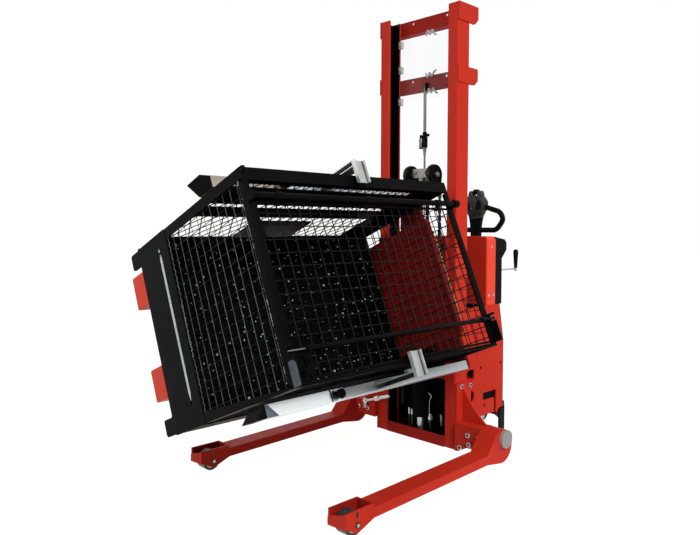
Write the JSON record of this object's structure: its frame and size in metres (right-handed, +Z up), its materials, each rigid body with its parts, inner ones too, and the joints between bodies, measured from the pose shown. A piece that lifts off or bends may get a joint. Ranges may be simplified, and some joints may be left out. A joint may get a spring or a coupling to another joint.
{
  "type": "box tipping stacker",
  "caption": "Pedestrian straddle stacker with a mast, support legs and a rotating fork carriage that lifts and tips a mesh box cage with a hinged gate.",
  "frame": {"origin": "on the floor, below the middle of the mast's front face", "axes": "+Z up the mast, +Y from the load towards the operator, +X to the operator's left"},
  "size_m": [1.0518, 1.704, 1.98],
  "materials": {
    "clear_plastic": "clear",
    "red_paint": "semi-gloss",
    "black_paint": "semi-gloss",
    "bright_steel": "brushed",
    "zinc_silver": "satin",
    "chromed_rod": "polished",
    "black_plastic": "matte",
    "grey_plastic": "satin",
    "cap_plastic": "satin",
    "mat_rubber": "glossy studs",
    "roller_plastic": "satin",
    "drive_tyre": "matte"
  },
  "bodies": {
    "chassis": {"mast_uprights": "red_paint", "mast_beams": "red_paint", "base_beam": "red_paint", "leg_brackets": "red_paint", "leg_left": "red_paint", "leg_right": "red_paint", "hub_caps": "cap_plastic", "side_panels": "red_paint", "deck_plate": "red_paint", "rear_skirt": "black_paint", "body_cover": "red_paint", "rear_panel": "black_plastic", "lower_rear_cover": "black_paint", "battery": "black_plastic", "hydraulic_unit": "black_paint", "lift_cylinder": "black_paint", "cylinder_foot": "bright_steel", "height_sensor": "bright_steel", "guard_screen": "clear_plastic"},
    "crosshead_unit": {"piston_rod": "chromed_rod", "crosshead": "bright_steel", "lift_chains": "bright_steel"},
    "sheaves_body": {"sheaves": "black_paint"},
    "rollers_upper": {"guide_rollers_upper": "bright_steel"},
    "rollers_lower": {"guide_rollers_lower": "bright_steel"},
    "carriage": {"carriage_frame": "black_paint", "slew_ring_fixed": "black_paint", "tip_gearbox": "black_paint"},
    "tipper": {"slew_ring_turning": "bright_steel", "rotator_plate": "red_paint", "forks": "zinc_silver", "cage_hooks": "zinc_silver", "base_tray": "black_paint", "base_end_plates": "black_paint", "cage_feet": "red_paint", "stud_mat": "mat_rubber", "cage_frame": "black_paint", "cage_end_meshes": "black_paint", "cage_side_walls": "black_paint", "gate_hinge_tube": "black_paint"},
    "gate_body": {"gate": "black_paint"},
    "latch_body": {"gate_latch": "zinc_silver"},
    "sleeve_left_body": {"fork_sleeve_left": "zinc_silver"},
    "sleeve_right_body": {"fork_sleeve_right": "zinc_silver"},
    "knob_left_body": {"star_knob_left": "black_plastic"},
    "knob_right_body": {"star_knob_right": "black_plastic"},
    "load_wheel_left_body": {"load_wheel_left": "roller_plastic"},
    "load_wheel_right_body": {"load_wheel_right": "roller_plastic"},
    "steering": {"steer_head": "black_paint"},
    "drive_wheel_body": {"drive_wheel": "drive_tyre"},
    "castor_left": {"castor_fork_left": "bright_steel"},
    "castor_right": {"castor_fork_right": "bright_steel"},
    "castor_wheel_left_body": {"castor_wheel_left": "drive_tyre"},
    "castor_wheel_right_body": {"castor_wheel_right": "drive_tyre"},
    "tiller": {"tiller_arm": "black_paint", "tiller_head": "grey_plastic"},
    "thumb_body": {"thumb_control": "black_plastic"},
    "lever_body": {"tip_lever": "black_plastic"}
  },
  "joints": [
    {"name": "carriage_lift", "type": "slide", "parent": "chassis", "child": "carriage", "axis": [0, 0, 1], "range_m": [-0.225, 0.6]},
    {"name": "crosshead_lift", "type": "slide", "parent": "chassis", "child": "crosshead_unit", "axis": [0, 0, 1], "range_m": [-0.1125, 0.3]},
    {"name": "sheaves_turn", "type": "hinge", "parent": "crosshead_unit", "child": "sheaves_body", "pos_m": [0, 0.0415, 1.25], "axis": [1, 0, 0], "range_deg": [-420, 180]},
    {"name": "cage_tip", "type": "hinge", "parent": "carriage", "child": "tipper", "pos_m": [0, -0.076, 0.716], "axis": [0, 1, 0], "range_deg": [-67.2, 112.8]},
    {"name": "gate_swing", "type": "hinge", "parent": "tipper", "child": "gate_body", "pos_m": [0.29661, -0.611, 1.1097], "axis": [0, -1, 0], "range_deg": [0, 75]},
    {"name": "latch_turn", "type": "hinge", "parent": "gate_body", "child": "latch_body", "pos_m": [0.48909, -1.05, 0.61569], "axis": [0.9219, 0, 0.3875], "range_deg": [0, 90]},
    {"name": "sleeve_left_slide", "type": "slide", "parent": "tipper", "child": "sleeve_left_body", "axis": [0, -1, 0], "range_m": [0, 0.2]},
    {"name": "sleeve_right_slide", "type": "slide", "parent": "tipper", "child": "sleeve_right_body", "axis": [0, -1, 0], "range_m": [0, 0.2]},
    {"name": "knob_left_turn", "type": "hinge", "parent": "sleeve_left_body", "child": "knob_left_body", "pos_m": [0.36491, -0.817, 0.45176], "axis": [0.9219, 0, 0.3875], "continuous": true},
    {"name": "knob_right_turn", "type": "hinge", "parent": "sleeve_right_body", "child": "knob_right_body", "pos_m": [0.06652, -0.817, 1.1616], "axis": [0.9219, 0, 0.3875], "continuous": true},
    {"name": "load_wheel_left_spin", "type": "hinge", "parent": "chassis", "child": "load_wheel_left_body", "pos_m": [0.426, -0.821, 0.041], "axis": [1, 0, 0], "continuous": true},
    {"name": "load_wheel_right_spin", "type": "hinge", "parent": "chassis", "child": "load_wheel_right_body", "pos_m": [-0.426, -0.821, 0.041], "axis": [1, 0, 0], "continuous": true},
    {"name": "steer_turn", "type": "hinge", "parent": "chassis", "child": "steering", "pos_m": [0, 0.41, 0.33], "axis": [0, 0, 1], "range_deg": [-70, 70]},
    {"name": "drive_wheel_spin", "type": "hinge", "parent": "steering", "child": "drive_wheel_body", "pos_m": [0, 0.41, 0.11], "axis": [1, 0, 0], "continuous": true},
    {"name": "castor_left_swivel", "type": "hinge", "parent": "chassis", "child": "castor_left", "pos_m": [0.165, 0.262, 0.15], "axis": [0, 0, 1], "continuous": true},
    {"name": "castor_right_swivel", "type": "hinge", "parent": "chassis", "child": "castor_right", "pos_m": [-0.165, 0.262, 0.15], "axis": [0, 0, 1], "continuous": true},
    {"name": "castor_wheel_left_spin", "type": "hinge", "parent": "castor_left", "child": "castor_wheel_left_body", "pos_m": [0.165, 0.23, 0.0625], "axis": [1, 0, 0], "continuous": true},
    {"name": "castor_wheel_right_spin", "type": "hinge", "parent": "castor_right", "child": "castor_wheel_right_body", "pos_m": [-0.165, 0.23, 0.0625], "axis": [1, 0, 0], "continuous": true},
    {"name": "tiller_fold", "type": "hinge", "parent": "steering", "child": "tiller", "pos_m": [0, 0.462, 0.4], "axis": [-1, 0, 0], "range_deg": [0, 85], "stiffness_Nm_per_rad": 90},
    {"name": "thumb_roll", "type": "hinge", "parent": "tiller", "child": "thumb_body", "pos_m": [0, 0.462, 1.191], "axis": [1, 0, 0], "range_deg": [-30, 30], "stiffness_Nm_per_rad": 0.1},
    {"name": "lever_swing", "type": "hinge", "parent": "chassis", "child": "lever_body", "pos_m": [0.195, 0.3583, 0.811], "axis": [0, 1, 0], "range_deg": [-25, 25], "stiffness_Nm_per_rad": 4},
    {"name": "rollers_upper_spin", "type": "hinge", "parent": "carriage", "child": "rollers_upper", "pos_m": [0, 0.0415, 0.916], "axis": [1, 0, 0], "continuous": true},
    {"name": "rollers_lower_spin", "type": "hinge", "parent": "carriage", "child": "rollers_lower", "pos_m": [0, 0.0415, 0.516], "axis": [1, 0, 0], "continuous": true}
  ],
  "couplings": [
    {"joint": "crosshead_lift", "follows": "carriage_lift", "ratio": 0.5},
    {"joint": "sheaves_turn", "follows": "carriage_lift", "rad_per_m": -11.574}
  ]
}
